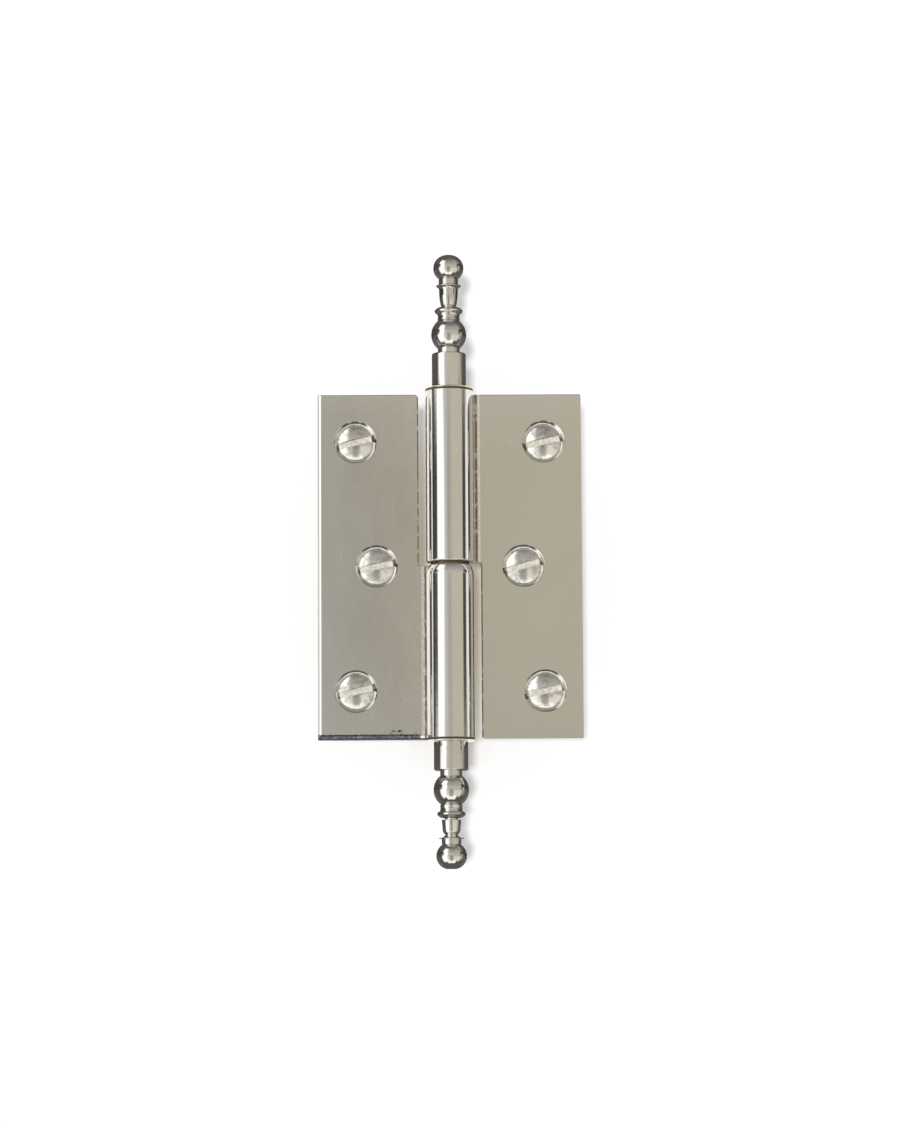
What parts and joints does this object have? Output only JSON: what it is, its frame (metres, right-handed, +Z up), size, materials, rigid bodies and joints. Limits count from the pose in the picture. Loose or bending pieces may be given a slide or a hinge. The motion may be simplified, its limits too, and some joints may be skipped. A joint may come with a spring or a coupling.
{
  "type": "cabinet hinge",
  "caption": "Lift-off cabinet hinge, open flat: two countersunk leaves with screws, a two-knuckle barrel and turned ball-and-urn finials, in polished nickel plate.",
  "frame": {"origin": "on the pin's axis, in the middle of the seam between the two knuckles", "axes": "+Z up along the pin, -Y out of the countersunk faces, -X across the fixed leaf and +X across the lifting leaf, with the hinge open flat"},
  "size_m": [0.0496, 0.0246, 0.1156],
  "materials": {
    "nickel_plate": "polished nickel plate",
    "screw_nickel": "nickel plate",
    "washer_brass": "plain",
    "pin_steel": "ground"
  },
  "bodies": {
    "fixed_side": {"fixed_leaf": "nickel_plate", "hinge_pin": "pin_steel", "bottom_finial": "nickel_plate", "fixed_leaf_screw_top": "screw_nickel", "fixed_leaf_screw_middle": "screw_nickel", "fixed_leaf_screw_bottom": "screw_nickel"},
    "washer": {"thrust_washer": "washer_brass"},
    "lift_side": {"lift_leaf": "nickel_plate", "top_finial": "nickel_plate", "lift_leaf_screw_top": "screw_nickel", "lift_leaf_screw_middle": "screw_nickel", "lift_leaf_screw_bottom": "screw_nickel"}
  },
  "joints": [
    {"name": "leaf_swing", "type": "hinge", "parent": "fixed_side", "child": "washer", "pos_m": [0, 0, 0], "axis": [0, 0, 1], "range_deg": [-180, 60]},
    {"name": "lift_off", "type": "slide", "parent": "washer", "child": "lift_side", "axis": [0, 0, 1], "range_m": [0, 0.0237]}
  ]
}
